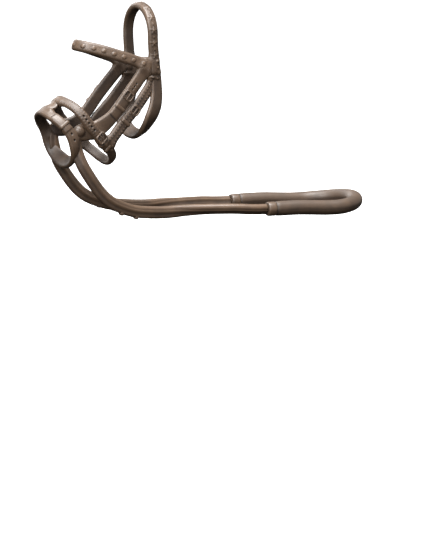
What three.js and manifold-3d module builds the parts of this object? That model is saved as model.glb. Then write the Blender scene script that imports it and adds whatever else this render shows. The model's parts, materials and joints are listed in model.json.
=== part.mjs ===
// Toy bridle with reins, moulded in soft plastic. Millimetres, +Z up, +X towards the
// horse's tail, -Y is the horse's near (left) side. The origin is the middle of the
// underside of the crownpiece, where the bridle hangs. It is mirror-symmetric about Y = 0.
import * as THREE from 'three';
import { mergeVertices } from 'three/addons/utils/BufferGeometryUtils.js';
import Module from 'manifold-3d';

const wasm = await Module();
wasm.setup();

// ---- driving dimensions -------------------------------------------------------------
const NEAR = -1;
const FAR = 1;
const SIDES = [['near', NEAR], ['far', FAR]];

const CHEEK = { width: 2.6, thick: 1.0, edge: 0.22 };
const HANGER = { width: 2.4, thick: 1.0, edge: 0.22 };
const FLASH = { width: 2.1, thick: 1.0, edge: 0.22 };
const BROW = { width: 2.7, thick: 1.0, edge: 0.22 };
const NOSE = { width: 2.3, thick: 1.0, edge: 0.22 };    // nosepiece and chin strap
const LATCH = { width: 2.3, thick: 0.9, edge: 0.2 };    // throatlatch
const REIN = { width: 3.0, thick: 1.6, edge: 0.35 };

const CROWN = {
  width: 2.5, thick: 1.2, edge: 0.25,
  underside: 5.9,      // radius of the underside over the poll
  drop: 7.7,           // straight part below the arc on each side
  flare: 4.4,          // width of each end, where the cheeks join
  flareLength: 1.5,
  steps: 41,           // odd, so that the top facet is centred and flat
};

const SLEEVE = { gap: 0.15, wall: 0.3 };                // keepers and buckles
const KEEPER_LENGTH = 0.8;
const BUCKLE_LENGTH = 1.9;
const NOSE_BUCKLE_LENGTH = 2.3;
const LOOP_LENGTH = 2.3;
const STOP_LENGTH = 0.9;
const STOP_WALL = 0.45;
const STOP_REACH = 0.3;       // how far above its middle a stop clasps the rein

const PIVOT = { x: -19.1, z: -27.5 };                   // bit stud, axis along Y
const STUD = { foot: 6.35, shaft: 0.45, neck: 8.0, head: 1.0, crown: 8.65 };
const EYE = { inner: 6.9, outer: 7.8, radius: 1.0, hole: 0.55 };

const REIN_TRACK = 9.5;                                 // half distance at the grip
const REIN_Z = -47.9;
const REIN_END = 28.3;
const PIN = { radius: 0.7, length: 6, root: 1 };
const GRIP = {
  radius: 1.8, start: 28.6, neck: 1.35, neckLength: 2.3, bend: 46.6,
  socket: 0.85, socketDepth: 7, sides: 28,
  droop: 0.5,          // how far the straight part sinks before the bend
  rise: 1.1,           // how far the middle of the bend lifts again
};
const COLLAR = { inner: 1.5, outer: 1.95, length: 1.9, start: 28.75 };

// ---- centrelines: [x, distance from the middle plane, z] ----------------------------
const BROW_HALF = [
  [-2.2, 6.5, -12.2], [-4.2, 6.4, -11.5], [-8.5, 5.7, -10.1],
  [-12.5, 4.3, -8.9], [-15.7, 2.4, -8.1], [-17.0, 0, -7.8],
];
const CHEEK_LINE = [
  [-3.0, 6.5, -14.9], [-5.2, 6.9, -17.5], [-7.9, 7.1, -20.7], [-11.0, 6.9, -24.5],
  [-14.2, 5.9, -26.6], [-17.6, 5.7, -27.2], [-20.6, 5.7, -27.1],
];
const HANGER_LINE = [
  [-0.1, 6.6, -16.8], [-2.4, 6.9, -19.8], [-4.7, 7.1, -22.6],
  [-7.8, 7.2, -25.9], [-10.9, 7.3, -29.5],
];
const LATCH_HALF = [
  [0.8, 5.25, -12.8], [1.1, 5.2, -15.5], [1.3, 5.3, -17.6], [1.2, 6.7, -20.2],
  [0.3, 7.4, -22.4], [-1.1, 7.1, -24.8], [-1.4, 5.7, -27.1], [-1.3, 3.0, -28.8],
  [-1.1, 0, -29.3],
];
const NOSE_HALF = [
  [-14.0, 7.35, -29.5], [-15.2, 7.45, -28.1], [-16.8, 7.4, -26.3],
  [-18.4, 6.8, -23.9], [-19.8, 4.8, -21.9], [-21.4, 0, -20.4],
];
const CHIN_HALF = [
  [-13.75, 7.35, -29.85], [-12.2, 6.95, -31.4], [-10.4, 5.6, -33.1],
  [-9.1, 3.0, -34.8], [-8.8, 0, -35.5],
];
const FLASH_LINE = [
  [-23.1, -6.1, -25.9], [-21.9, -6.8, -27.6], [-21.2, -7.0, -29.4],
  [-20.9, -6.9, -31.2], [-20.5, -6.0, -33.2], [-19.9, -3.6, -35.1],
  [-19.4, 0, -36.1],
  [-19.9, 3.6, -35.1], [-20.5, 6.0, -33.2], [-20.9, 6.9, -31.2],
  [-21.2, 7.0, -29.4], [-21.9, 6.8, -27.6], [-23.1, 6.1, -25.9],
  [-24.5, 3.9, -24.0], [-25.2, 0, -22.9], [-24.5, -3.9, -24.0],
  [-23.5, -5.6, -25.35],
];
const REIN_LINE = [
  [-18.9, 7.35, -28.2], [-18.5, 7.3, -29.6], [-18.2, 7.0, -31.4],
  [-18.0, 6.8, -33.2], [-17.9, 6.7, -35.3], [-17.2, 6.7, -37.4],
  [-14.5, 6.6, -41.3], [-10.1, 6.4, -45.1], [-5.2, 6.2, -46.9],
  [4.0, 6.0, -47.7], [14.0, 7.3, -47.4], [20.5, 8.8, -47.5], [25.0, 9.4, -47.8],
  [REIN_END, REIN_TRACK, REIN_Z],
];
const NOSE_CENTRE = [-15.6, 0, -28.0];
const FLASH_CENTRE = [-22.5, 0, -29.4];
const BROW_CENTRE = [-4.0, 0, -9.0];
const LATCH_CENTRE = [0.5, 0, -19.0];
const TAB = { x: -23.28, z: -21.78, length: 1.3, width: 4.4, thick: 1.0, tilt: 30 };
const REIN_STOPS = [0.373, 0.432];                      // along each rein

// ---- materials ----------------------------------------------------------------------
function plastic(color, roughness) {
  return new THREE.MeshStandardMaterial({ color, roughness, metalness: 0 });
}
const leatherBrown = plastic(0x4b4138, 0.55);
const fittingBrown = plastic(0x57493c, 0.5);
const gripBrown = plastic(0x4a3f36, 0.5);

// ---- helpers ------------------------------------------------------------------------
function vec(values) {
  return new THREE.Vector3(...values);
}

function onSide(line, side) {
  return line.map(([x, y, z]) => [x, y * side, z]);
}

// A half line that ends on the middle plane, mirrored into a whole one.
function acrossHead(half) {
  const back = half.slice(0, -1).reverse();
  return [...onSide(half, NEAR), ...onSide(back, FAR)];
}

function curveThrough(line) {
  const curve = new THREE.CatmullRomCurve3(line.map(vec), false, 'centripetal');
  return (t) => curve.getPointAt(t);
}

// Local frame of a strap at t: position, tangent, outward normal and width direction.
function frameAt(strap, t) {
  const step = 1e-3;
  const p = strap.at(t);
  const before = strap.at(Math.max(0, t - step));
  const tangent = strap.at(Math.min(1, t + step)).sub(before).normalize();
  const normal = strap.out(p).clone();
  normal.addScaledVector(tangent, -normal.dot(tangent)).normalize();
  const across = new THREE.Vector3().crossVectors(normal, tangent);
  return { p, tangent, normal, across };
}

function awayFrom(centre) {
  return (p) => p.clone().sub(vec(centre));
}

function sideways(side) {
  return () => new THREE.Vector3(0, side, 0);
}

function bevelledRectangle(width, height, edge) {
  const x = width / 2;
  const y = height / 2;
  const shape = new THREE.Shape();
  shape.moveTo(-x + edge, -y);
  shape.lineTo(x - edge, -y);
  shape.lineTo(x, -y + edge);
  shape.lineTo(x, y - edge);
  shape.lineTo(x - edge, y);
  shape.lineTo(-x + edge, y);
  shape.lineTo(-x, y - edge);
  shape.lineTo(-x, -y + edge);
  shape.closePath();
  return shape;
}

function rectangle(width, height) {
  return bevelledRectangle(width, height, Math.min(width, height) * 0.12);
}

// A straight extrusion bent along the strap's line.
function bentStrap(strap) {
  const { section, steps } = strap;
  const shape = bevelledRectangle(section.width, section.thick, section.edge);
  const flat = new THREE.ExtrudeGeometry(shape, { depth: 1, steps, bevelEnabled: false });
  const pos = flat.attributes.position;
  for (let i = 0; i < pos.count; i += 1) {
    const t = pos.getZ(i);
    const { p, normal, across } = frameAt(strap, t);
    const w = pos.getX(i) * strap.widen(t);
    const h = pos.getY(i) * strap.thicken(t);
    p.addScaledVector(across, w).addScaledVector(normal, h);
    pos.setXYZ(i, p.x, p.y, p.z);
  }
  flat.computeVertexNormals();
  return flat;
}

function makeStrap(line, out, section, steps, widen = () => 1, thicken = () => 1) {
  const at = Array.isArray(line) ? curveThrough(line) : line;
  return { at, out, section, steps, widen, thicken };
}

function smooth(t, from, to) {
  return THREE.MathUtils.smoothstep(t, from, to);
}

// Rounds off a strap end over the last part of its length.
function roundedEnd(t, from, least) {
  const u = Math.max(0, (t - from) / (1 - from));
  return 1 - (1 - least) * u * u;
}

function toManifold(geometry) {
  const bare = geometry.clone();
  bare.deleteAttribute('normal');
  bare.deleteAttribute('uv');
  const solid = mergeVertices(bare, 1e-5);
  return new wasm.Manifold(new wasm.Mesh({
    numProp: 3,
    vertProperties: new Float32Array(solid.attributes.position.array),
    triVerts: new Uint32Array(solid.index.array),
  }));
}

function fromManifold(manifold) {
  const mesh = manifold.getMesh();
  const geometry = new THREE.BufferGeometry();
  const points = new Float32Array(mesh.vertProperties);
  geometry.setAttribute('position', new THREE.BufferAttribute(points, 3));
  geometry.setIndex(Array.from(mesh.triVerts));
  const loose = geometry.toNonIndexed();
  loose.computeVertexNormals();
  return loose;
}

// A round bar from a to b.
function bar(a, b, radius, sides = 24) {
  const from = vec(a);
  const to = vec(b);
  const along = to.clone().sub(from);
  const geometry = new THREE.CylinderGeometry(radius, radius, along.length(), sides);
  const up = new THREE.Vector3(0, 1, 0);
  const turn = new THREE.Quaternion().setFromUnitVectors(up, along.clone().normalize());
  geometry.applyQuaternion(turn);
  const middle = from.add(to).multiplyScalar(0.5);
  geometry.translate(middle.x, middle.y, middle.z);
  return geometry;
}

function box(sx, sy, sz, x, y, z) {
  const geometry = new THREE.BoxGeometry(sx, sy, sz);
  geometry.translate(x, y, z);
  return geometry;
}

function named(name, geometry, material) {
  const mesh = new THREE.Mesh(geometry, material);
  mesh.name = name;
  return mesh;
}

function placeOn(mesh, strap, t) {
  const { p, tangent, normal, across } = frameAt(strap, t);
  const basis = new THREE.Matrix4().makeBasis(across, normal, tangent);
  mesh.quaternion.setFromRotationMatrix(basis);
  mesh.position.copy(p);
  return mesh;
}

// A rectangular ring round a strap, local x across, y outward and z along the strap.
function sleeveGeometry(strap, t, length, wall) {
  const inX = strap.section.width * strap.widen(t) + 2 * SLEEVE.gap;
  const inY = strap.section.thick * strap.thicken(t) + 2 * SLEEVE.gap;
  const shape = rectangle(inX + 2 * wall, inY + 2 * wall);
  shape.holes.push(rectangle(inX, inY));
  const geometry = new THREE.ExtrudeGeometry(shape, { depth: length, bevelEnabled: false });
  geometry.translate(0, 0, -length / 2);
  return { geometry, inX, inY };
}

function keeper(name, strap, t, length = KEEPER_LENGTH, wall = SLEEVE.wall) {
  const { geometry } = sleeveGeometry(strap, t, length, wall);
  return placeOn(named(name, geometry, fittingBrown), strap, t);
}

// A keeper whose outer wall has two windows, which leave the buckle's frame and tongue.
function buckle(name, strap, t, length = BUCKLE_LENGTH) {
  const { geometry, inX, inY } = sleeveGeometry(strap, t, length, SLEEVE.wall);
  const tongue = 0.34;
  const windowX = (inX - tongue) / 2 - 0.12;
  const windowZ = length - 0.9;
  let solid = toManifold(geometry);
  for (const side of [-1, 1]) {
    const x = side * (tongue + windowX) / 2;
    const y = inY / 2 + SLEEVE.wall / 2;
    solid = solid.subtract(toManifold(box(windowX, SLEEVE.wall * 2, windowZ, x, y, 0)));
  }
  return placeOn(named(name, fromManifold(solid), fittingBrown), strap, t);
}

// ---- headstall ----------------------------------------------------------------------
// The crown's line: up the near side, over the poll and down the far side.
function crownLine() {
  const radius = CROWN.underside + CROWN.thick / 2;
  const total = 2 * CROWN.drop + Math.PI * radius;
  const facet = total / CROWN.steps / radius;
  const middleZ = -CROWN.underside * Math.cos(facet / 2);
  return (t) => {
    const s = t * total - total / 2;
    const angle = THREE.MathUtils.clamp(s / radius, -Math.PI / 2, Math.PI / 2);
    const below = Math.abs(s) - Math.abs(angle) * radius;
    return new THREE.Vector3(
      0, radius * Math.sin(angle), middleZ + radius * Math.cos(angle) - below);
  };
}

function makeCrown() {
  const arcTop = -CROWN.underside;
  const out = (p) => new THREE.Vector3(0, p.y, Math.max(0, p.z - arcTop));
  const flare = CROWN.flare / CROWN.width - 1;
  const radius = CROWN.underside + CROWN.thick / 2;
  const total = 2 * CROWN.drop + Math.PI * radius;
  const ends = CROWN.flareLength / total;
  const widen = (t) => 1 + flare * smooth(Math.abs(t - 0.5), 0.5 - ends, 0.5);
  return makeStrap(crownLine(), out, CROWN, CROWN.steps, widen);
}

function sideStraps(word, side) {
  const cheekWiden = (t) => 1 + 0.55 * smooth(t, 0.5, 0.75) * roundedEnd(t, 0.8, 0.4);
  const cheek = makeStrap(
    onSide(CHEEK_LINE, side), sideways(side), CHEEK, 32, cheekWiden,
    (t) => 1 - 0.1 * smooth(t, 0.55, 0.7));
  const hanger = makeStrap(onSide(HANGER_LINE, side), sideways(side), HANGER, 20);
  return [
    named(`cheekpiece_${word}`, bentStrap(cheek), leatherBrown),
    buckle(`cheek_buckle_${word}`, cheek, 0.265),
    keeper(`cheek_keeper_${word}`, cheek, 0.37),
    named(`noseband_hanger_${word}`, bentStrap(hanger), leatherBrown),
    buckle(`hanger_buckle_${word}`, hanger, 0.45),
    keeper(`hanger_keeper_${word}`, hanger, 0.69),
  ];
}

function noseband() {
  const out = awayFrom(NOSE_CENTRE);
  const nose = makeStrap(acrossHead(NOSE_HALF), out, NOSE, 44);
  const chin = makeStrap(acrossHead(CHIN_HALF), out, NOSE, 36);
  return [
    named('nosepiece', bentStrap(nose), leatherBrown),
    named('chin_strap', bentStrap(chin), leatherBrown),
    buckle('noseband_buckle_near', nose, 0.004, NOSE_BUCKLE_LENGTH),
    buckle('noseband_buckle_far', nose, 0.996, NOSE_BUCKLE_LENGTH),
    keeper('noseband_keeper_near', chin, 0.085),
  ];
}

function flash() {
  const strap = makeStrap(FLASH_LINE, awayFrom(FLASH_CENTRE), FLASH, 72);
  const tab = named('flash_tab', new THREE.BoxGeometry(TAB.length, TAB.width, TAB.thick),
    leatherBrown);
  tab.position.set(TAB.x, 0, TAB.z);
  tab.rotation.y = -THREE.MathUtils.degToRad(TAB.tilt);
  return [
    named('flash_strap', bentStrap(strap), leatherBrown),
    keeper('flash_keeper', strap, 0, 1.1),
    tab,
  ];
}

function headstall() {
  const group = new THREE.Group();
  const crown = makeCrown();
  const brow = makeStrap(acrossHead(BROW_HALF), awayFrom(BROW_CENTRE), BROW, 40);
  group.add(named('crownpiece', bentStrap(crown), leatherBrown));
  group.add(named('browband', bentStrap(brow), leatherBrown));
  group.add(keeper('browband_loop_near', crown, 0.083, LOOP_LENGTH));
  group.add(keeper('browband_loop_far', crown, 0.917, LOOP_LENGTH));
  for (const [word, side] of SIDES) {
    group.add(...sideStraps(word, side));
    group.add(bitStud(word, side));
  }
  group.add(...noseband());
  group.add(...flash());
  return group;
}

function throatlatch() {
  const line = acrossHead(LATCH_HALF);
  const strap = makeStrap(line, awayFrom(LATCH_CENTRE), LATCH, 48);
  return named('throatlatch', bentStrap(strap), leatherBrown);
}

// ---- bit studs and reins ------------------------------------------------------------
function bitStud(word, side) {
  const head = STUD.crown - STUD.neck;
  const profile = [new THREE.Vector2(0, STUD.foot), new THREE.Vector2(STUD.shaft, STUD.foot)];
  profile.push(new THREE.Vector2(STUD.shaft, STUD.neck));
  for (const angle of [0, 20, 40, 60, 75]) {
    const a = THREE.MathUtils.degToRad(angle);
    const r = STUD.head * Math.cos(a);
    profile.push(new THREE.Vector2(r, STUD.neck + head * Math.sin(a)));
  }
  profile.push(new THREE.Vector2(0, STUD.crown));
  const mesh = named(`bit_stud_${word}`, new THREE.LatheGeometry(profile, 28), fittingBrown);
  mesh.position.set(PIVOT.x, 0, PIVOT.z);
  mesh.rotation.z = side === FAR ? 0 : Math.PI;
  return mesh;
}

function reinSolid(strap, side) {
  const eye = bar([PIVOT.x, side * EYE.inner, PIVOT.z], [PIVOT.x, side * EYE.outer, PIVOT.z],
    EYE.radius, 32);
  const hole = bar([PIVOT.x, side * 5, PIVOT.z], [PIVOT.x, side * 11, PIVOT.z], EYE.hole);
  const y = side * REIN_TRACK;
  const pin = bar([REIN_END - PIN.root, y, REIN_Z], [REIN_END + PIN.length, y, REIN_Z],
    PIN.radius);
  const body = toManifold(bentStrap(strap)).add(toManifold(eye)).add(toManifold(pin));
  return fromManifold(body.subtract(toManifold(hole)));
}

// A clip round the lower edge of a rein: a keeper without its upper part.
function reinStop(name, strap, t, side) {
  const { geometry, inX, inY } = sleeveGeometry(strap, t, STOP_LENGTH, STOP_WALL);
  const cut = inX + 2 * STOP_WALL;
  const away = box(cut, inY * 2, STOP_LENGTH * 2, -side * (cut / 2 + STOP_REACH), 0, 0);
  const solid = toManifold(geometry).subtract(toManifold(away));
  return placeOn(named(name, fromManifold(solid), fittingBrown), strap, t);
}

function reins() {
  const group = new THREE.Group();
  for (const [word, side] of SIDES) {
    const widen = (t) => 0.62 + 0.36 * smooth(t, 0.02, 0.14) - 0.13 * smooth(t, 0.4, 1);
    const thicken = (t) => 0.58 + 0.42 * smooth(t, 0.03, 0.14);
    const strap = makeStrap(
      onSide(REIN_LINE, side), sideways(side), REIN, 60, widen, thicken);
    group.add(named(`rein_${word}`, reinSolid(strap, side), leatherBrown));
    REIN_STOPS.forEach((t, i) => {
      group.add(reinStop(`rein_stop_${i + 1}_${word}`, strap, t, side));
    });
  }
  return group;
}

// ---- hand grip ----------------------------------------------------------------------
function circle(radius, sides) {
  const shape = new THREE.Shape();
  for (let i = 0; i < sides; i += 1) {
    const a = (i / sides) * 2 * Math.PI;
    const x = radius * Math.cos(a);
    const y = radius * Math.sin(a);
    if (i === 0) shape.moveTo(x, y);
    else shape.lineTo(x, y);
  }
  shape.closePath();
  return shape;
}

// The grip's centreline: straight, half a turn round the back, and straight again.
class GripLine extends THREE.Curve {
  constructor(start) {
    super();
    this.straight = GRIP.bend - start;
    this.turn = Math.PI * REIN_TRACK;
  }

  getPoint(t, target = new THREE.Vector3()) {
    const s = t * (2 * this.straight + this.turn) - this.straight;
    const angle = THREE.MathUtils.clamp(s / REIN_TRACK, 0, Math.PI);
    const before = Math.min(0, s);
    const after = Math.max(0, s - this.turn);
    const x = GRIP.bend + before - after;
    const droop = GRIP.droop * smooth(x, GRIP.start + GRIP.socketDepth, GRIP.bend);
    const rise = GRIP.rise * Math.sin(angle) ** 2;
    return target.set(
      x + REIN_TRACK * Math.sin(angle), -REIN_TRACK * Math.cos(angle),
      REIN_Z - droop + rise);
  }
}

function gripGeometry() {
  const shape = circle(GRIP.radius, GRIP.sides);
  const extrudePath = new GripLine(GRIP.start + GRIP.neckLength);
  const tube = new THREE.ExtrudeGeometry(shape, { steps: 56, extrudePath });
  let solid = toManifold(tube);
  for (const [, side] of SIDES) {
    const y = side * REIN_TRACK;
    const neckEnd = GRIP.start + GRIP.neckLength + 1;
    const neck = bar([GRIP.start, y, REIN_Z], [neckEnd, y, REIN_Z], GRIP.neck);
    solid = solid.add(toManifold(neck));
    const bottom = GRIP.start + GRIP.socketDepth;
    const socket = bar([GRIP.start - 1, y, REIN_Z], [bottom, y, REIN_Z], GRIP.socket);
    solid = solid.subtract(toManifold(socket));
  }
  return fromManifold(solid);
}

function collar(word, side) {
  const y = side * REIN_TRACK;
  const end = COLLAR.start + COLLAR.length;
  const outer = toManifold(bar([COLLAR.start, y, REIN_Z], [end, y, REIN_Z], COLLAR.outer, 28));
  const inner = bar([COLLAR.start - 1, y, REIN_Z], [end + 1, y, REIN_Z], COLLAR.inner, 28);
  const ring = outer.subtract(toManifold(inner));
  return named(`grip_collar_${word}`, fromManifold(ring), fittingBrown);
}

function grip() {
  const group = new THREE.Group();
  group.add(named('hand_grip', gripGeometry(), gripBrown));
  for (const [word, side] of SIDES) {
    group.add(collar(word, side));
  }
  return group;
}

// ---- assembly -----------------------------------------------------------------------
const bridle = new THREE.Group();
bridle.name = 'toy_bridle_with_reins';
bridle.add(headstall(), throatlatch(), reins(), grip());

export default bridle;
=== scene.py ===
"""Looks of the toy bridle with reins: every CAD node is replaced by a finely moulded piece.

Sizes are in millimetres in the row frame (+X to the tail, -Y the near side, +Z up) and are
turned into metres when a mesh is made.
"""

import json
import math

import bmesh
import bpy
import numpy as np
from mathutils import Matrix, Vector


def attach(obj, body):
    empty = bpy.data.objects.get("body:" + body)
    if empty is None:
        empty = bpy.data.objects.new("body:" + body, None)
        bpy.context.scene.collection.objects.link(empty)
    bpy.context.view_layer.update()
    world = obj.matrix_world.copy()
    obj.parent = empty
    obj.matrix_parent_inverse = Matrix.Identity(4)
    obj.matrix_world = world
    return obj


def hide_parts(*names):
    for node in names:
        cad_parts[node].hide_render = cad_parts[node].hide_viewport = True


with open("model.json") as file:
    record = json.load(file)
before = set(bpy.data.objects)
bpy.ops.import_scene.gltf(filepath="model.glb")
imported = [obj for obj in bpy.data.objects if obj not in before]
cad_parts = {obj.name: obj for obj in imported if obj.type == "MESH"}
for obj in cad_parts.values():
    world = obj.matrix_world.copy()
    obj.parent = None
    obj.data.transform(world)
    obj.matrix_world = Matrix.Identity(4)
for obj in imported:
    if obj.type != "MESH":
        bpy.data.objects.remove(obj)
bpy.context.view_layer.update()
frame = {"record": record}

MM = 0.001
NEAR, FAR = -1, 1
SIDES = (("near", NEAR), ("far", FAR))
FINE = 0.15          # spacing of the mesh along a strap with raised detail
ROUGH = 0.25         # spacing along a plain piece
SPAN = 40            # curve points from one given point to the next
REACH = 0.45         # how far each way a path looks to find its direction
CROWNING = 0.1       # how far a strap's outer face stands up in the middle
RAISED_HIGHLIGHT = 0.22        # painted highlight: how much paler rims, domes and other raised detail are drawn
BACK_SHADE = 0.36     # painted shade: how much darker the inner faces are drawn
CAP = 9              # outline points along a strap's flat back


# ---- curves -------------------------------------------------------------------------
def catmull(points, per=SPAN):
    """Points of a centripetal Catmull-Rom curve through the given points."""
    p = np.array(points, float)
    p = np.vstack([2 * p[0] - p[1], p, 2 * p[-1] - p[-2]])
    out = []
    for p0, p1, p2, p3 in zip(p, p[1:], p[2:], p[3:]):
        k = [0.0]
        for a, b in ((p0, p1), (p1, p2), (p2, p3)):
            k.append(k[-1] + max(np.linalg.norm(b - a) ** 0.5, 1e-4))
        for u in np.linspace(k[1], k[2], per, endpoint=False):
            a1 = (p0 * (k[1] - u) + p1 * u) / k[1]
            a2 = (p1 * (k[2] - u) + p2 * (u - k[1])) / (k[2] - k[1])
            a3 = (p2 * (k[3] - u) + p3 * (u - k[2])) / (k[3] - k[2])
            b1 = (a1 * (k[2] - u) + a2 * u) / k[2]
            b2 = (a2 * (k[3] - u) + a3 * (u - k[1])) / (k[3] - k[1])
            out.append((b1 * (k[2] - u) + b2 * (u - k[1])) / (k[2] - k[1]))
    out.append(p[-2])
    return np.array(out)


class Path:
    """A polyline measured along its length, with an outward direction for each point."""

    def __init__(self, points, out, smooth=True):
        self.pts = catmull(points) if smooth else np.array(points, float)
        gaps = np.linalg.norm(np.diff(self.pts, axis=0), axis=1)
        self.marks = np.concatenate([[0.0], np.cumsum(gaps)])
        self.total = self.marks[-1]
        self.out = out

    def at(self, s):
        return np.array([np.interp(s, self.marks, self.pts[:, i]) for i in range(3)])

    def frame(self, s):
        """Position, tangent, outward normal and width direction at length s."""
        a, b = self.at(max(0.0, s - REACH)), self.at(min(self.total, s + REACH))
        tangent = (b - a) / np.linalg.norm(b - a)
        p = self.at(s)
        normal = self.out(p)
        normal = normal - tangent * normal.dot(tangent)
        normal /= np.linalg.norm(normal)
        return p, tangent, normal, np.cross(normal, tangent)

    def nearest(self, point):
        """Length at which the path comes nearest to a point."""
        return self.marks[np.argmin(np.linalg.norm(self.pts - np.array(point), axis=1))]


def on_side(line, side):
    return [(x, y * side, z) for x, y, z in line]


def across_head(half):
    return on_side(half, NEAR) + on_side(half[-2::-1], FAR)


def away_from(*centre):
    c = np.array(centre, float)
    return lambda p: p - c


def turned_back(centre, amount, high, low):
    """Away from the centre, leaning to the tail below so that the inner face shows."""
    c = np.array(centre, float)
    return lambda p: p - c + np.array([amount * smooth(-p[2], high, low), 0.0, 0.0])


def sideways(side):
    return lambda p: np.array([0.0, side, 0.0])


def smooth(x, lo, hi):
    t = np.clip((x - lo) / (hi - lo), 0.0, 1.0)
    return t * t * (3 - 2 * t)


# ---- raised detail: each gives (height, painted shade) over the outer face; below zero is painted highlight ---
def dome(s, w, s0, w0, radius, height):
    d = np.hypot(s - s0, w - w0)
    up = height * np.sqrt(np.clip(1 - (d / radius) ** 2, 0, 1))
    # painted shade in a ring round the dome's foot, painted highlight on its top
    dark = 0.3 * np.exp(-(((d - radius * 1.1) / (0.25 * radius + 0.08)) ** 2))
    return up, dark - RAISED_HIGHLIGHT * (up > height * 0.5)


def pit(s, w, s0, w0, radius, depth):
    d = np.hypot(s - s0, w - w0)
    inside = 1 - smooth(d, radius * 0.55, radius * 1.15)
    # painted shade: the hole is darker inside
    return -depth * inside, inside


def slit(s, w, s0, w0, length, radius, depth):
    """A short slot that runs across the strap."""
    d = np.hypot(s - s0, np.maximum(np.abs(w - w0) - length / 2, 0))
    inside = 1 - smooth(d, radius * 0.5, radius * 1.2)
    # painted shade: the slot is darker inside
    return -depth * inside, inside


def flower(s, w, s0, w0, radius, height):
    d = np.hypot(s - s0, w - w0)
    angle = np.arctan2(w - w0, s - s0)
    edge = radius * (0.78 + 0.22 * np.cos(5 * angle))
    up = height * smooth(edge - d, -0.1, 0.42)
    eye, eye_dark = dome(s, w, s0, w0, radius * 0.3, height * 0.6)
    # painted shade round the petals' edge and the eye, painted highlight on the raised petals
    dark = 0.3 * np.exp(-(((d - edge) / 0.2) ** 2)) + 0.25 * eye_dark * (d < edge)
    dark = dark - 0.5 * RAISED_HIGHLIGHT * smooth(edge - d, 0.1, 0.4)
    return up + eye, dark


def beads(s, w, line, pitch, radius, height):
    """Two rows of stitches, one each side of the middle."""
    local = (s % pitch) - pitch / 2
    d = np.hypot(local, np.abs(w) - line)
    up = height * np.sqrt(np.clip(1 - (d / radius) ** 2, 0, 1))
    row = np.exp(-(((np.abs(w) - line) / (radius * 1.2)) ** 2))
    # painted shade round the stitches, painted highlight on their tops
    dark = 0.5 * row * (1 - smooth(d, radius * 1.4, radius * 0.7))
    return up, dark - RAISED_HIGHLIGHT * (up > height / 2)


def rim(w, half, width, height):
    up = smooth(np.abs(w), half - width - 0.2, half - width + 0.15)
    groove = np.exp(-(((np.abs(w) - (half - width - 0.1)) / 0.2) ** 2))
    # painted shade in the groove, painted highlight on the raised rim
    return height * up - 0.5 * height * groove, 0.22 * groove - 0.5 * RAISED_HIGHLIGHT * up


def add(*parts):
    return sum(p[0] for p in parts), np.clip(sum(p[1] for p in parts), -0.3, 1)


def plain(s, w, half):
    return np.zeros_like(w), np.zeros_like(w)


def rimmed(s, w, half):
    return rim(w, half, 0.45, 0.06)


def shaded_or_lit(relief, tone):
    """The same relief with the whole outer face darker by tone (painted shade) or paler
    (painted light).
    """
    def shaded(s, w, half):
        up, dark = relief(s, w, half)
        return up, dark + tone

    return shaded


# ---- sections -----------------------------------------------------------------------
def strap_ring(width, thick, s, relief, across=26, corner=0.62):
    """Outline of a moulded strap, crowned outside: width, outward and painted-shade values."""
    r = min(corner, thick * 0.49, width * 0.3)
    flat = width / 2 - r
    turn = np.linspace(0, math.pi / 2, 9)[1:-1]
    face = np.linspace(-flat, flat, across)
    back = np.linspace(flat, -flat, CAP)
    top = thick / 2 - CROWNING
    bump, dark_face = relief(s, face, width / 2)
    crest = CROWNING * (1 - (face / (width / 2)) ** 2)
    corner_w = flat + r * np.sin(turn)
    corner_h = top - r + r * np.cos(turn) + CROWNING * (1 - (corner_w * 2 / width) ** 2)
    low_h = -thick / 2 + r - r * np.cos(turn)
    fade = np.cos(turn)
    w = np.concatenate([face, corner_w, corner_w[::-1], back, -corner_w, -corner_w[::-1]])
    h = np.concatenate([
        top + crest + bump, corner_h + bump[-1] * fade, low_h[::-1],
        np.full(CAP, -thick / 2), low_h, (corner_h + bump[0] * fade)[::-1]])
    # painted shade: the inner faces, and the corners that turn towards them, are darker
    side_dark = np.concatenate([np.zeros(7), BACK_SHADE * smooth(turn[::-1], 1.6, 0.2)])
    dark = np.concatenate([
        dark_face, side_dark, np.full(CAP, BACK_SHADE), side_dark[::-1]])
    return w, h, dark


def round_ring(radius, sides=40):
    a = np.linspace(0, 2 * math.pi, sides, endpoint=False)
    return radius * np.sin(a), radius * np.cos(a), np.zeros(sides)


# ---- meshes -------------------------------------------------------------------------
def make_mesh(name, rings, darks, closed=False):
    """A skin over rings of points; open ends get flat caps."""
    count = len(rings[0])
    verts = np.vstack(rings) * MM
    total = len(rings)
    faces = []
    for i in range(total if closed else total - 1):
        a, b = i * count, ((i + 1) % total) * count
        for j in range(count):
            k = (j + 1) % count
            faces.append((a + j, a + k, b + k, b + j))
    if not closed:
        faces.append(tuple(range(count - 1, -1, -1)))
        faces.append(tuple(range((total - 1) * count, total * count)))
    mesh = bpy.data.meshes.new(name)
    mesh.from_pydata(verts.tolist(), [], faces)
    mesh.validate()
    shell = bmesh.new()
    shell.from_mesh(mesh)
    bmesh.ops.recalc_face_normals(shell, faces=shell.faces)
    shell.to_mesh(mesh)
    shell.free()
    # per-point painted shade (positive) and painted highlight (negative), read by the material
    layer = mesh.attributes.new("painted_shading", "FLOAT", "POINT")
    layer.data.foreach_set("value", np.concatenate(darks).astype(np.float32))
    mesh.shade_smooth()
    obj = bpy.data.objects.new(name, mesh)
    bpy.context.scene.collection.objects.link(obj)
    return obj


def placed(path, s, w, h):
    """An outline of width and outward values, set square on the path at length s."""
    p, _, normal, across = path.frame(s)
    return p + np.outer(w, across) + np.outer(h, normal)


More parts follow.
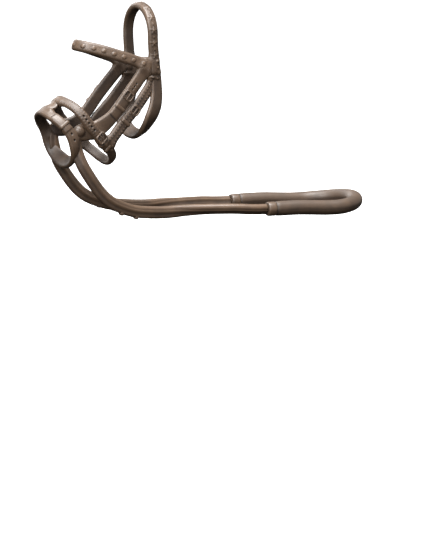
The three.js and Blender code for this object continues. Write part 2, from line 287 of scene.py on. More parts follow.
def turned_piece(name, path, outline, sides=40, dark=0.0, closed=False):
    """A round piece from (length, radius) pairs along a path."""
    rings = []
    for s, radius in outline:
        w, h, _ = round_ring(radius, sides)
        rings.append(placed(path, s, w, h))
    return make_mesh(name, rings, [np.full(sides, dark)] * len(outline), closed)


def end_scale(d, length):
    """Outline scale at distance d from a rounded end."""
    if length <= 0 or d >= length:
        return 1.0
    return max(0.06, math.sqrt(max(0.0, 1 - ((length - d) / length) ** 2)))


def loft(name, path, ring, step=FINE, ends=(0.0, 0.0)):
    """ring(s) gives the outline at length s; ends are the lengths of the rounded ends."""
    count = max(6, int(path.total / step))
    stops = list(np.linspace(0, path.total, count + 1))
    for k, length in enumerate(ends):
        if length:
            extra = length * (1 - np.cos(np.linspace(0.05, 1.3, 8)))
            stops += list(extra if k == 0 else path.total - extra)
    rings, darks = [], []
    for s in sorted(stops):
        w, h, dark = ring(s)
        scale = end_scale(s, ends[0]) * end_scale(path.total - s, ends[1])
        thin = 0.35 + 0.65 * scale if scale < 1 else 1.0
        rings.append(placed(path, s, w * scale, h * thin))
        darks.append(dark)
    return make_mesh(name, rings, darks)


FILLET_REACH = 1.5   # how near two straps come before they swell into each other
CORES = {}           # the straps that are moulded into each other


def strap(name, path, width, thick, relief=rimmed, ends=(0.0, 0.0), step=FINE, soft=True):
    wide = width if callable(width) else (lambda s: width)
    deep = thick if callable(thick) else (lambda s: thick)
    if soft:
        CORES[name] = strap_core(path, wide, deep)
    return loft(name, path, lambda s: strap_ring(wide(s), deep(s), s, relief), step, ends)


def rounded_loop(width, height, corner, per=7):
    """Points of a rounded rectangle in the (width, height) plane."""
    pts = []
    for cx, cy, start in ((1, 1, 0), (-1, 1, 90), (-1, -1, 180), (1, -1, 270)):
        for a in np.radians(np.linspace(start, start + 90, per)):
            pts.append((cx * (width / 2 - corner) + corner * math.cos(a),
                        cy * (height / 2 - corner) + corner * math.sin(a)))
    return pts


def loop_mesh(name, centre, axes, loop, ring):
    """A closed bar whose middle line is the loop, given in the plane of axes[0] and [1]."""
    pts = [centre + x * axes[0] + y * axes[1] for x, y in loop]
    n = len(pts)
    w, h, dark = ring
    rings = []
    for i in range(n):
        tangent = pts[(i + 1) % n] - pts[i - 1]
        tangent /= np.linalg.norm(tangent)
        outward = np.cross(tangent, axes[2])
        rings.append(pts[i] + np.outer(w, axes[2]) + np.outer(h, outward))
    return make_mesh(name, rings, [dark] * n, closed=True)


def joined(name, parts):
    """Several shells that make one piece."""
    bpy.ops.object.select_all(action="DESELECT")
    for part in parts:
        part.select_set(True)
    bpy.context.view_layer.objects.active = parts[0]
    bpy.ops.object.join()
    parts[0].name = name
    return parts[0]


def keeper(name, path, s, width, thick, length=0.85, wall=0.26):
    """A band over a strap's outer face; its inner run is moulded into the strap."""
    p, tangent, normal, across = path.frame(s)
    low, high = -0.15, thick / 2 + CROWNING + wall * 0.45
    loop = rounded_loop(width + wall * 0.2, high - low, 0.4)
    band = strap_ring(length, wall, 0, plain, across=8, corner=0.13)
    return loop_mesh(name, p + normal * (low + high) / 2, (across, normal, tangent), loop, band)


def buckle(name, path, s, width, thick, length=1.9, bar=0.2, lift=0.0):
    """A low frame on the outer face with a tongue, and the strap's end lying under it."""
    p, tangent, normal, across = path.frame(s)
    face = p + normal * (thick / 2 + CROWNING + lift)
    loop = rounded_loop(width - 0.45, length, 0.5)
    frame_bar = loop_mesh(name, face, (across, tangent, normal), loop, round_ring(bar, 12))
    tongue_line = [face - tangent * length * 0.5, face + normal * 0.14,
                   face + tangent * length * 0.62 + normal * 0.08]
    tongue_path = Path(tongue_line, lambda q: normal)
    tongue = loft(name + "_tongue", tongue_path, lambda t: round_ring(0.15, 10), 0.15,
                  (0.15, 0.15))
    bridge = keeper(name + "_seat", path, s - length * 0.5, width - 0.3, thick, 0.45, 0.2)
    return joined(name, [frame_bar, tongue, bridge])


# ---- centrelines ---------------------------------------------------------------------
BROW_HALF = [(0.2, 6.5, -13.3), (-2.0, 6.5, -12.5), (-4.4, 6.35, -11.6), (-8.5, 5.7, -10.2),
             (-12.5, 4.3, -8.9), (-15.7, 2.4, -8.1), (-17.0, 0, -7.8)]
CHEEK_LINE = [(-0.9, 6.5, -12.4), (-3.0, 6.6, -14.9), (-5.2, 6.9, -17.5), (-7.9, 7.1, -20.7),
              (-11.0, 6.9, -24.4), (-14.2, 6.1, -27.0), (-17.2, 6.1, -27.8),
              (-20.4, 6.2, -27.6)]
HANGER_LINE = [(0.5, 6.45, -14.6), (-0.2, 6.6, -16.8), (-2.4, 6.9, -19.8),
               (-4.7, 7.1, -22.6), (-7.8, 7.2, -25.9), (-10.9, 7.3, -29.5),
               (-12.4, 7.3, -31.2)]
LATCH_HALF = [(0.6, 6.45, -12.9), (0.7, 6.45, -15.0), (0.8, 6.7, -17.6), (0.7, 7.0, -20.0),
              (0.2, 7.3, -22.4), (-0.8, 7.1, -25.0), (-1.5, 5.7, -27.4),
              (-1.5, 3.0, -29.0), (-1.3, 0, -29.5)]
NOSE_HALF = [(-13.2, 7.3, -30.3), (-15.2, 7.45, -28.1), (-16.8, 7.4, -26.2),
             (-18.4, 6.8, -23.9), (-19.8, 4.8, -21.9), (-21.4, 0, -20.5)]
CHIN_HALF = [(-14.4, 7.2, -29.5), (-12.2, 6.95, -31.5), (-10.3, 5.6, -33.2),
             (-9.0, 3.0, -34.9), (-8.7, 0, -35.5)]
FLASH_HALF = [(-25.3, 0, -23.1), (-24.6, 3.9, -24.2), (-23.1, 6.1, -26.0),
              (-21.9, 6.8, -27.6), (-21.1, 7.0, -29.4), (-20.6, 6.9, -31.2),
              (-20.0, 6.0, -33.0), (-19.5, 3.6, -34.5), (-19.4, 0, -35.3)]
REIN_LINE = [(-19.7, 6.5, -27.4), (-19.7, 6.2, -29.6), (-19.6, 6.1, -31.6),
             (-19.2, 6.3, -33.6), (-18.4, 6.6, -35.6), (-17.2, 6.7, -37.6),
             (-14.5, 6.6, -41.3), (-12.4, 6.5, -43.5), (-10.0, 6.4, -45.1),
             (-5.2, 6.2, -46.9), (-0.7, 6.1, -47.5), (4.0, 6.0, -47.7), (8.5, 6.3, -47.5),
             (14.0, 7.3, -47.4), (20.5, 8.8, -47.5), (25.0, 9.4, -47.8), (28.6, 9.5, -47.9)]
BROW_THICK = CHEEK_THICK = NOSE_THICK = 1.25
HANGER_THICK = CHIN_THICK = 1.2
FLASH_THICK = LATCH_THICK = 1.3
PIVOT = (-19.1, -27.5)          # the bit studs' middle, x and z
CROWN_RADIUS = 6.55
CROWN_CENTRE = -5.75
REIN_TRACK = 9.5
REIN_Z = -47.9
GRIP_START = 28.6
GRIP_BEND = 46.6
GRIP_RADIUS = 1.76


# ---- headstall -----------------------------------------------------------------------
def crown_path():
    """Up the near side, over the poll and down the far side."""
    pts = []
    for z in np.linspace(-15.6, CROWN_CENTRE, 24, endpoint=False):
        pts.append((0.6 * smooth(-z, 6, 15.6), -CROWN_RADIUS, z))
    for a in np.radians(np.linspace(180, 0, 60)):
        pts.append((0.0, CROWN_RADIUS * math.cos(a), CROWN_CENTRE + CROWN_RADIUS * math.sin(a)))
    pts += [(x, -y, z) for x, y, z in reversed(pts[:24])]
    return Path(pts, lambda p: np.array([0, p[1], max(0.0, p[2] - CROWN_CENTRE)]), False)


def crown_relief(path):
    spots = np.arange(5.2, path.total - 5.0, 2.9)

    def relief(s, w, half):
        near_spot = spots[np.argmin(np.abs(spots - s))]
        bloom = flower(s, w, near_spot, 0.0, 0.92, 0.15)
        gap = near_spot + (1.45 if s > near_spot else -1.45)
        dots = dome(s, w, gap, 0.0, 0.3, 0.09)
        return add(rim(w, half, 0.36, 0.08), bloom, dots)

    return relief


def brow_relief(path):
    middle = path.total / 2
    studs = middle + np.arange(-7, 8) * 2.45

    def relief(s, w, half):
        near_stud = studs[np.argmin(np.abs(studs - s))]
        return add(rim(w, half, 0.36, 0.07), dome(s, w, near_stud, 0.0, 0.52, 0.2))

    return relief


def hanger_relief(s, w, half):
    row = beads(s, w, half - 0.78, 0.8, 0.24, 0.11)
    return add(rim(w, half, 0.34, 0.08), row)


def holed(places, base=rimmed, radius=0.26):
    """A relief with a row of punched holes at the given lengths."""
    def relief(s, w, half):
        nearest = min(places, key=lambda place: abs(place - s))
        return add(base(s, w, half), pit(s, w, nearest, 0.0, radius, 0.45))

    return relief


def stitched(s, w, half):
    return add(rim(w, half, 0.3, 0.06), beads(s, w, half - 0.55, 0.7, 0.17, 0.08))


def side_pieces(word, side):
    cheek = Path(on_side(CHEEK_LINE, side), sideways(side))
    low = cheek.nearest((-11.0, 6.9 * side, -24.4))

    def cheek_width(s):
        top = 0.3 * (1 - smooth(s, 0.5, 4.2))
        flare = 1.0 * smooth(s, low - 1.0, low + 4.5)
        return 3.0 + top + flare

    cheek_at = cheek.nearest((-7.0, 7.0 * side, -19.6))
    keeper_at = cheek.nearest((-9.2, 7.0 * side, -22.3))
    tip_at = cheek.nearest((-10.9, 6.9 * side, -24.3))
    punched = [cheek_at - back for back in (3.6, 2.8, 2.0)]

    def cheek_relief(s, w, half):
        lap = 0.16 * (1 - smooth(s, tip_at - 0.25, tip_at))
        up, dark = rimmed(s, w, half)
        hole = min(punched, key=lambda place: abs(place - s))
        up, dark = add((up, dark), pit(s, w, hole, 0.0, 0.2, 0.35))
        # painted shade: a dark line where the lapped end steps down at its tip
        edge = 0.6 * math.exp(-(((s - tip_at - 0.05) / 0.16) ** 2))
        fade = 1 - smooth(s, low + 1.5, low + 4)
        return up * fade + lap * (s > cheek_at), np.clip(dark * fade + edge, -0.3, 1)

    hanger = Path(on_side(HANGER_LINE, side), sideways(side))
    hanger_at = hanger.nearest((-5.2, 7.1 * side, -23.2))
    loop_at = hanger.nearest((-7.7, 7.2 * side, -25.8))

    def hanger_width(s):
        top = 0.3 * (1 - smooth(s, 0.4, 3.4))
        return 2.65 + top + 0.7 * smooth(s, hanger.total - 3, hanger.total)

    return {
        f"cheekpiece_{word}": strap(
            f"cheekpiece_{word}", cheek, cheek_width, CHEEK_THICK,
            # painted shade: the cheekpiece's outer face a little darker
            shaded_or_lit(cheek_relief, 0.06), (0.9, 1.6)),
        f"cheek_buckle_{word}": buckle("cheek_buckle", cheek, cheek_at, 2.7, CHEEK_THICK),
        f"cheek_keeper_{word}": keeper("cheek_keeper", cheek, keeper_at, 2.7, 1.5),
        f"noseband_hanger_{word}": strap(
            f"noseband_hanger_{word}", hanger, hanger_width, HANGER_THICK,
            # painted shade: the hanger's outer face darker
            shaded_or_lit(hanger_relief, 0.14), (0.9, 0.8)),
        f"hanger_buckle_{word}": buckle(
            "hanger_buckle", hanger, hanger_at, 2.4, HANGER_THICK),
        f"hanger_keeper_{word}": keeper("hanger_keeper", hanger, loop_at, 2.4, 1.3),
        f"browband_loop_{word}": brow_loop(side),
        f"bit_stud_{word}": bit_stud(side),
    }


def brow_loop(side):
    """The browband's end where it wraps the crownpiece, with two small studs."""
    line = [(0.75, 6.62, -11.0), (0.8, 6.62, -12.6), (0.75, 6.62, -14.2)]
    path = Path(on_side(line, side), sideways(side))

    def relief(s, w, half):
        return add(dome(s, w, 0.8, 0.0, 0.42, 0.3), dome(s, w, 2.3, 0.0, 0.42, 0.3))

    return strap("brow_loop", path, 1.1, 1.3, relief, (0.5, 0.5), soft=False)


def bit_stud(side):
    """A domed stud on the cheekpiece's end."""
    x, z = PIVOT
    line = [(x, 6.0 * side, z), (x, 8.1 * side, z)]
    path = Path(line, lambda p: np.array([1.0, 0, 0]), smooth=False)
    outline = [(0.0, 1.5), (0.55, 1.46), (0.8, 1.34), (1.0, 1.15), (1.2, 0.93),
               (1.35, 0.68), (1.44, 0.4), (1.47, 0.05)]
    return turned_piece("bit_stud", path, outline, 32, 0.12)


def noseband_pieces():
    centre = away_from(-15.6, 0, -28.0)
    nose = Path(across_head(NOSE_HALF), centre)
    chin = Path(across_head(CHIN_HALF), centre)
    holes = [nose.nearest((x, -7.4, z)) for x, z in
             ((-19.0, -24.2), (-18.3, -25.0), (-17.6, -25.8), (-16.9, -26.6), (-16.2, -27.4))]
    slots = [chin.nearest((-10.0, -4.4, -34.2)), chin.nearest((-10.0, 4.4, -34.2))]

    def chin_relief(s, w, half):
        nearest = min(slots, key=lambda place: abs(place - s))
        return add(rimmed(s, w, half), slit(s, w, nearest, 0.2, 0.7, 0.2, 0.45))

    keeper_at = chin.nearest((-12.5, -6.9, -31.7))
    pieces = {
        "nosepiece": strap(
            "nosepiece", nose, 2.4, NOSE_THICK, holed(holes, stitched), (0.6, 0.6)),
        "chin_strap": strap("chin_strap", chin, 2.35, CHIN_THICK, chin_relief),
    }
    for word, side in SIDES:
        pieces[f"noseband_buckle_{word}"] = buckle(
            "nose_buckle", nose, nose.nearest((-14.6, 7.35 * side, -29.3)), 2.7, NOSE_THICK,
            length=2.1, bar=0.24, lift=0.3)
    pieces["noseband_keeper_near"] = keeper("nose_keeper", chin, keeper_at, 2.4, 1.25)
    return pieces


def flash_pieces():
    loop = on_side(FLASH_HALF, NEAR) + on_side(FLASH_HALF[-2:0:-1], FAR)
    closed = catmull([loop[-1]] + loop + loop[:2])[SPAN:SPAN * (len(loop) + 1) + 1]
    path = Path(closed, turned_back((-22.5, 0, -29.4), 3.8, 30, 35), smooth=False)
    tip = path.nearest((-24.7, -3.9, -23.8)) + 0.2
    hold = path.nearest((-23.1, -6.2, -26.0))
    holes = [path.nearest((-22.1, -6.9, -28.2)), path.nearest((-21.7, -7.0, -29.6))]
    slots = [path.nearest((-20.3, -3.2, -35.4)), path.nearest((-20.3, 3.2, -35.4))]

    def relief(s, w, half):
        lap = 0.2 * smooth(s, tip - 0.1, tip + 0.15) * (1 - smooth(s, hold + 1.4, hold + 1.7))
        # painted shade: a dark line at the step where the lapped end starts
        step = 0.6 * math.exp(-(((s - tip) / 0.14) ** 2))
        nearest = min(holes, key=lambda place: abs(place - s))
        gap = min(slots, key=lambda place: abs(place - s))
        up, dark = add(rimmed(s, w, half), pit(s, w, nearest, 0.0, 0.26, 0.45),
                       slit(s, w, gap, 0.0, 0.8, 0.2, 0.45))
        return up + lap, np.clip(dark + step, -0.3, 1)

    chin = path.nearest((-19.2, 0, -36.2))

    def flash_width(s):
        return 2.75 + 0.7 * (1 - smooth(abs(s - chin), 3, 9))

    flash = closed_strap("flash_strap", path, flash_width, FLASH_THICK, relief)
    CORES["flash_strap"] = strap_core(path, flash_width, lambda s: FLASH_THICK, closed=True)
    tab_line = [(-23.1, -1.9, -22.2), (-23.4, 0, -21.9), (-23.1, 1.9, -22.2)]
    tab = Path(tab_line, lambda p: np.array([-0.5, p[1] * 0.12, 1.0]))

    return {
        "flash_strap": flash,
        "flash_tab": strap("flash_tab", tab, 3.1, 0.95, plain, (1.1, 1.1)),
        "flash_keeper": keeper("flash_keeper", path, hold, 2.75, 1.55),
    }


def closed_strap(name, path, width, thick, relief):
    """A strap that closes on itself at path.total."""
    rings, darks = [], []
    for s in np.linspace(0, path.total, int(path.total / FINE), endpoint=False):
        w, h, dark = strap_ring(width(s), thick, s, relief)
        rings.append(placed(path, s, w, h))
        darks.append(dark)
    return make_mesh(name, rings, darks, closed=True)


def headstall_pieces():
    crown = crown_path()
    brow = Path(across_head(BROW_HALF), away_from(-4.0, 0, -12.0))

    def crown_width(s):
        end = min(s, crown.total - s)
        return 2.6 + 0.3 * (1 - smooth(end, 0.5, 5.5))

    def crown_thick(s):
        return 1.25 + 0.3 * smooth(min(s, crown.total - s), 10, 17)

    def brow_width(s):
        end = min(s, brow.total - s)
        return 2.7 + 0.6 * (1 - smooth(end, 1.2, 5.0))

    pieces = {
        "crownpiece": strap(
            "crownpiece", crown, crown_width, crown_thick, crown_relief(crown), (1.3, 1.3)),
        "browband": strap(
            # painted light: the browband's outer face paler
            "browband", brow, brow_width, BROW_THICK, shaded_or_lit(brow_relief(brow), -0.22),
            (0.6, 0.6)),
    }
    for word, side in SIDES:
        pieces.update(side_pieces(word, side))
    pieces.update(noseband_pieces())
    pieces.update(flash_pieces())
    return pieces


def latch_pieces():
    path = Path(across_head(LATCH_HALF), turned_back((-0.4, 0, -20.0), 6.0, 23, 29))

    def width(s):
        end = min(s, path.total - s)
        return 3.1 + 0.4 * smooth(end, 4, 12)

    return {"throatlatch": strap(
        # painted shade: the throatlatch's outer face darker, as it turns from the light
        "throatlatch", path, width, LATCH_THICK, shaded_or_lit(rimmed, 0.28), (1.2, 1.2))}


# ---- reins and grip ------------------------------------------------------------------
def rein_ring(width, thick, side):
    """A flat strap whose lower two fifths are thinner, as moulded."""
    r = 0.44 * thick
    low = thick * 0.78
    ledge = -0.12 * width
    turn = np.linspace(0, math.pi / 2, 7)
    top_w = width / 2 - r + r * np.sin(turn)
    top_h = thick / 2 - r + r * np.cos(turn)
    # painted highlight along the rounded top edge
    shine = -0.3 * smooth(turn, 0.0, 0.7)
    face_w = np.linspace(ledge + 0.28, width / 2 - r, 8)[:-1]
    crest = 0.05 * thick * np.sin(np.linspace(0, math.pi, 7))
    step_w = np.array([ledge - 0.2, ledge, ledge + 0.2])
    step_h = np.array([low / 2, low / 2 + 0.05, thick / 2 - 0.05])
    low_r = 0.42 * low
    foot_w = -width / 2 + low_r - low_r * np.sin(turn[::-1])
    foot_h = low / 2 - low_r + low_r * np.cos(turn[::-1])
    w = np.concatenate([foot_w, step_w, face_w, top_w])
    h = np.concatenate([foot_h, step_h, thick / 2 + crest, top_h])
    # painted shade on the thinner lower part and darker still on the step, painted light on the
    # face, painted highlight on the top edge
    dark = np.concatenate([np.full(7, 0.16), [0.26, 0.26, 0.0], np.full(7, -0.2), shine])
    w, h = np.concatenate([w, w[::-1]]), np.concatenate([h, -h[::-1]])
    dark = np.concatenate([dark, dark[::-1]])
    return -w * side, h, dark


def rolled(side):
    """Outward at the head, turned under towards the grip so that the top edge shows."""
    return lambda p: np.array([0.0, side, -0.6 * smooth(p[0], 4, 14)])


def rein_pieces():
    pieces = {}
    for word, side in SIDES:
        lift = 0.5 if side == FAR else 0.0
        line = [(x, y, z + lift * smooth(x, -16, -5) * (1 - smooth(x, 0, 18)))
                for x, y, z in on_side(REIN_LINE, side)]
        path = Path(line, rolled(side))
        stops = [path.nearest((x, 6.4 * side, z)) for x, z in ((-7.6, -46.0), (-4.1, -47.1))]

        def width(s):
            return 2.1 + 0.85 * smooth(s, 1.0, 7.0) - 0.35 * smooth(s, 30, 52)

        def thick(s):
            return 1.1 + 0.65 * smooth(s, 3.0, 9.0)

        def ring(s):
            return rein_ring(width(s), thick(s), side)

        body = loft(f"rein_{word}", path, ring, 0.2, (0.5, 0.4))
        pin_line = [(26.0, REIN_TRACK * side, REIN_Z), (34.2, REIN_TRACK * side, REIN_Z)]
        pin_path = Path(pin_line, sideways(side), smooth=False)
        pin = loft("pin", pin_path, lambda s: round_ring(0.7, 20), ROUGH, (0, 0.4))
        pieces[f"rein_{word}"] = joined(f"rein_{word}", [body, pin])
        for i, s in enumerate(stops):
            pieces[f"rein_stop_{i + 1}_{word}"] = rein_stop(path, s, side)
    return pieces


def rein_stop(path, s, side):
    """A small rounded clip on the rein's lower edge."""
    p, tangent, normal, across = path.frame(s)
    down = across if side == FAR else -across
    reach = 1.85 if side == NEAR else 1.6
    line = [p + down * 0.55, p + down * 1.2, p + down * reach]
    clip = Path(line, lambda q: normal)
    return strap("rein_stop", clip, 1.2, 1.35, plain, (0.3, 0.5), ROUGH, soft=False)


def grip_path():
    pts = []
    for x in np.linspace(GRIP_START, GRIP_BEND, 40, endpoint=False):
        pts.append((x, -REIN_TRACK, REIN_Z - 0.5 * smooth(x, 35.6, GRIP_BEND)))
    for a in np.linspace(0, math.pi, 70):
        z = REIN_Z - 0.5 + 1.1 * math.sin(a) ** 2
        pts.append((GRIP_BEND + REIN_TRACK * math.sin(a), -REIN_TRACK * math.cos(a), z))
    pts += [(x, -y, z) for x, y, z in reversed(pts[:40])]
    return Path(pts, lambda p: np.array([0, 0, 1.0]), False)


def grip_piece():
    """A round tube with a socket in each end and a faint mould line."""
    path = grip_path()
    socket = [(6.5, 0.05), (6.5, 0.82), (0.15, 0.82)]
    lip = [(0.0, 0.95), (0.0, 1.3), (0.12, 1.42), (2.12, 1.42), (2.14, 1.58), (2.26, 1.66),
           (2.6, 1.72), (3.1, GRIP_RADIUS)]
    start = socket + lip
    body = [(s, GRIP_RADIUS) for s in np.linspace(3.2, path.total - 3.2, 230)]
    outline = start + body + [(path.total - s, r) for s, r in reversed(start)]
    rings, darks = [], []
    for s, radius in outline:
        w, h, dark = round_ring(radius)
        angle = np.arctan2(h, np.abs(w))
        seam = np.exp(-(((angle + 0.12) / 0.07) ** 2))
        outer = radius == GRIP_RADIUS
        swell = 1 - 0.03 * seam * outer
        rings.append(placed(path, s, w * swell, h * swell))
        # painted shade in the groove beside the collar at each end, and along the mould line
        groove = 0.5 * math.exp(-(((min(s, path.total - s) - 2.25) / 0.25) ** 2))
        darks.append(dark + groove + (0.35 * seam if outer else 0.0))
    return make_mesh("hand_grip", rings, darks)


def collar_piece(side):
    y = REIN_TRACK * side
    line = [(GRIP_START, y, REIN_Z), (GRIP_START + 2.2, y, REIN_Z)]
    path = Path(line, lambda p: np.array([0, 0, 1.0]), smooth=False)
    outline = [(0.2, 1.4), (0.02, 1.5), (0.1, 1.6), (0.4, 1.68), (1.6, 1.7), (1.9, 1.69),
               (2.08, 1.62), (2.04, 1.4)]
    return turned_piece("collar", path, outline, closed=True)


def grip_pieces():
    pieces = {"hand_grip": grip_piece()}
    for word, side in SIDES:
        pieces[f"grip_collar_{word}"] = collar_piece(side)
    return pieces


# ---- materials -----------------------------------------------------------------------
def linear(*rgb):
    return tuple((c / 255 / 12.92 if c <= 10 else ((c / 255 + 0.055) / 1.055) ** 2.4)
                 for c in rgb) + (1.0,)


def plastic(name, light, deep, rough):
    """Moulded plastic, mottled at random, with painted shade in its hollows and on its inner
    faces and painted highlights on raised detail.
    """
    mat = bpy.data.materials.new(name)
    mat.use_nodes = True
    nodes, links = mat.node_tree.nodes, mat.node_tree.links
    shader = nodes["Principled BSDF"]
    shader.inputs["Specular IOR Level"].default_value = 0.65

    def node(kind, **values):
        made = nodes.new("ShaderNode" + kind)
        for socket, value in values.items():
            made.inputs[socket.replace("_", " ")].default_value = value
        return made

    coords = node("TexCoord")
    broad = node("TexNoise", Scale=320, Detail=4)
    fine = node("TexNoise", Scale=2600, Detail=3)
    painted_shading = node("Attribute")
    painted_shading.attribute_name = "painted_shading"
    mottle = node("MapRange", From_Min=0.35, From_Max=0.7, To_Min=0.2, To_Max=0.5)
    total = node("Math")
    total.operation = "ADD"
    total.use_clamp = True
    colour = node("Mix")
    colour.data_type = "RGBA"
    colour.inputs["A"].default_value = light
    colour.inputs["B"].default_value = deep
    rougher = node("MapRange", To_Min=rough, To_Max=rough + 0.22)
    bump = node("Bump", Strength=0.25, Distance=0.00004)
    for noise in (broad, fine):
        links.new(coords.outputs["Object"], noise.inputs["Vector"])
    links.new(broad.outputs["Fac"], mottle.inputs["Value"])
    links.new(mottle.outputs["Result"], total.inputs[0])
    links.new(painted_shading.outputs["Fac"], total.inputs[1])
    links.new(total.outputs["Value"], colour.inputs["Factor"])
    links.new(total.outputs["Value"], rougher.inputs["Value"])
    links.new(fine.outputs["Fac"], bump.inputs["Height"])
    links.new(colour.outputs["Result"], shader.inputs["Base Color"])
    links.new(rougher.outputs["Result"], shader.inputs["Roughness"])
    links.new(bump.outputs["Normal"], shader.inputs["Normal"])
    return mat


# ---- assembly ------------------------------------------------------------------------
# the deep brown that random mottle and the painted shade mix towards
DEEP_MOTTLE_AND_SHADE = linear(26, 16, 9)
MATERIALS = {
    "straps": plastic("strap_plastic", linear(94, 74, 57), DEEP_MOTTLE_AND_SHADE, 0.4),
    "fittings": plastic("fitting_plastic", linear(98, 78, 61), DEEP_MOTTLE_AND_SHADE, 0.37),
    "grip": plastic("grip_plastic", linear(85, 67, 52), DEEP_MOTTLE_AND_SHADE, 0.46),
}
SLOTS = {entry["node"]: entry["material_slot"] for entry in frame["record"]["subparts"]}


def dress(pieces, body):
    for node, obj in pieces.items():
        obj.name = node + ".look"
        obj.data.name = node + ".look"
        obj.data.materials.clear()
        obj.data.materials.append(MATERIALS[SLOTS[node]])
        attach(obj, body)
        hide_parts(node)


def strap_core(path, width, thick, closed=False):
    """Samples of a strap: where it runs, how it faces and how wide and thick it is."""
    marks = np.linspace(0, path.total, max(8, int(path.total / 0.25)))
    frames = [path.frame(s) for s in marks]
    from_end = np.minimum(marks, path.total - marks)
    return {
        "full": np.ones(len(marks)) if closed else smooth(from_end, 0.2, 1.4),
        "at": np.array([f[0] for f in frames]), "along": np.array([f[1] for f in frames]),
        "out": np.array([f[2] for f in frames]), "across": np.array([f[3] for f in frames]),
        "wide": np.array([width(s) for s in marks]) / 2,
        "deep": np.array([thick(s) for s in marks]) / 2,
    }


def gap_to(core, pts):
    """Signed distance in mm from points to a rounded strap, and the way out of it."""
    far = ((pts[:, None, :] - core["at"][None, ::2]) ** 2).sum(2)
    rough = far.argmin(1) * 2
    last = len(core["at"]) - 1
    tries = np.clip(rough[:, None] + np.array([-1, 0, 1]), 0, last)
    near = ((pts[:, None, :] - core["at"][tries]) ** 2).sum(2).argmin(1)
    i = tries[np.arange(len(pts)), near]
    d = pts - core["at"][i]
    w = (d * core["across"][i]).sum(1)
    h = (d * core["out"][i]).sum(1)
    along = (d * core["along"][i]).sum(1)
    past = np.where(i == 0, -along, np.where(i == last, along, 0)).clip(0)
    r = core["deep"][i] * 0.95
    x, y = np.abs(w) - core["wide"][i] + r, np.abs(h) - core["deep"][i] + r
    edge = np.hypot(x.clip(0), y.clip(0))
    gap = edge + np.minimum(np.maximum(x, y), 0) - r
    gap = np.where(past > 0, np.hypot(gap.clip(0), past), gap)
    side, lift = np.sign(w) * x.clip(0), np.sign(h) * y.clip(0)
    lift = np.where(edge < 1e-6, np.sign(h), lift)
    way = side[:, None] * core["across"][i] + lift[:, None] * core["out"][i]
    way /= np.linalg.norm(way, axis=1, keepdims=True).clip(1e-6)
    return gap, way * core["full"][i, None]


def fillet(pieces, reach):
    """Swell each strap towards the ones it meets, so that they join in a soft hollow."""
    for name, obj in pieces.items():
        count = len(obj.data.vertices)
        flat = np.empty(count * 3, np.float32)
        obj.data.vertices.foreach_get("co", flat)
        pts = flat.reshape(-1, 3).astype(float) / MM
        swell = np.zeros(count)
        for other in pieces:
            core = CORES[other]
            if other == name:
                continue
            low, high = core["at"].min(0) - reach - 2, core["at"].max(0) + reach + 2
            index = np.nonzero(np.all((pts > low) & (pts < high), axis=1))[0]
            if not len(index):
                continue
            gap, _ = gap_to(core, pts[index])
            amount = reach / 4 * np.clip(1 - np.abs(gap) / reach, 0, 1) ** 2
            swell[index] += amount
        swell = np.minimum(swell, reach / 3)
        _, way = gap_to(CORES[name], pts)
        pts += way * swell[:, None]
        obj.data.vertices.foreach_set("co", (pts * MM).astype(np.float32).ravel())
        obj.data.update()


head = headstall_pieces()
latch = latch_pieces()
bands = {name: obj for name, obj in head.items() if name in CORES}
fillet(bands, FILLET_REACH)
dress(head, "headstall")
dress(latch, "throatlatch")
dress(rein_pieces(), "reins")
dress(grip_pieces(), "grip")


# ---- studio --------------------------------------------------------------------------
FLOOR_SIZE = 12.0
FLOOR_Z = -0.122
CAMERA_LENS = 500               # long, because the photo has almost no perspective
CAMERA_DISTANCE = 1.796
SENSOR = 36
MIDDLE = (0.0, 0.0, -0.03)      # where the lights aim


def white(name, strength):
    mat = bpy.data.materials.new(name)
    mat.use_nodes = True
    shader = mat.node_tree.nodes["Principled BSDF"]
    shader.inputs["Base Color"].default_value = (0.9, 0.9, 0.9, 1)
    shader.inputs["Roughness"].default_value = 0.9
    shader.inputs["Emission Color"].default_value = (1, 1, 1, 1)
    shader.inputs["Emission Strength"].default_value = strength
    return mat


def plane(name, size, z, mat):
    mesh = bpy.data.meshes.new(name)
    h = size / 2
    mesh.from_pydata([(-h, -h, z), (h, -h, z), (h, h, z), (-h, h, z)], [], [(0, 1, 2, 3)])
    mesh.materials.append(mat)
    obj = bpy.data.objects.new(name, mesh)
    bpy.context.scene.collection.objects.link(obj)
    return obj


def area_light(name, place, aim, size, power):
    data = bpy.data.lights.new(name, "AREA")
    data.size = size
    data.energy = power
    obj = bpy.data.objects.new(name, data)
    obj.location = place
    obj.rotation_euler = (Vector(aim) - Vector(place)).to_track_quat("-Z", "Y").to_euler()
    bpy.context.scene.collection.objects.link(obj)


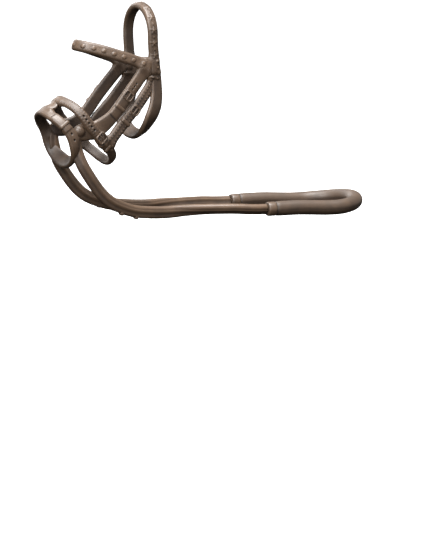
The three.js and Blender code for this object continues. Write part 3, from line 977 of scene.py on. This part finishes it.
def studio_world():
    """A light that is bright round the horizon, softer above and dim below."""
    world = bpy.data.worlds.new("studio")
    world.use_nodes = True
    nodes, links = world.node_tree.nodes, world.node_tree.links
    ground = nodes["Background"]
    coords = nodes.new("ShaderNodeTexCoord")
    split = nodes.new("ShaderNodeSeparateXYZ")
    ramp = nodes.new("ShaderNodeValToRGB")
    stops = ramp.color_ramp.elements
    stops[0].position, stops[0].color = 0.43, (0.03, 0.028, 0.026, 1)
    stops[1].position, stops[1].color = 0.5, (0.46, 0.46, 0.46, 1)
    for place, level in ((0.6, 0.44), (0.75, 0.3)):
        stops.new(place).color = (level, level, level, 1)
    height = nodes.new("ShaderNodeMapRange")
    height.inputs["From Min"].default_value = -1
    height.inputs["From Max"].default_value = 1
    links.new(coords.outputs["Generated"], split.inputs["Vector"])
    links.new(split.outputs["Z"], height.inputs["Value"])
    links.new(height.outputs["Result"], ramp.inputs["Fac"])
    links.new(ramp.outputs["Color"], ground.inputs["Color"])
    bpy.context.scene.world = world


floor = plane("studio_floor", FLOOR_SIZE, FLOOR_Z, white("studio_white", 0.9))
floor.visible_diffuse = False
floor.visible_glossy = False

area_light("key", (-0.6, -0.45, 0.45), MIDDLE, 0.3, 8.2)
area_light("overhead", (-0.05, -0.1, 0.8), MIDDLE, 0.5, 19.0)
area_light("front", (-0.25, -0.8, 0.1), MIDDLE, 0.5, 1.2)
area_light("back", (-0.1, 0.7, 0.3), MIDDLE, 0.6, 3.2)
studio_world()
bpy.context.scene.view_settings.view_transform = "Standard"

AIM = Vector((0.0112, -0.0143, -0.0621))
AWAY = Vector((-0.4506, -0.8844, 0.1219)).normalized()
camera = bpy.data.cameras.new("camera")
camera.lens = CAMERA_LENS
camera.sensor_width = SENSOR
camera.clip_start = 0.05
eye = bpy.data.objects.new("camera", camera)
eye.location = AIM + AWAY * CAMERA_DISTANCE
eye.rotation_euler = (-AWAY).to_track_quat("-Z", "Y").to_euler()
bpy.context.scene.collection.objects.link(eye)
bpy.context.scene.camera = eye
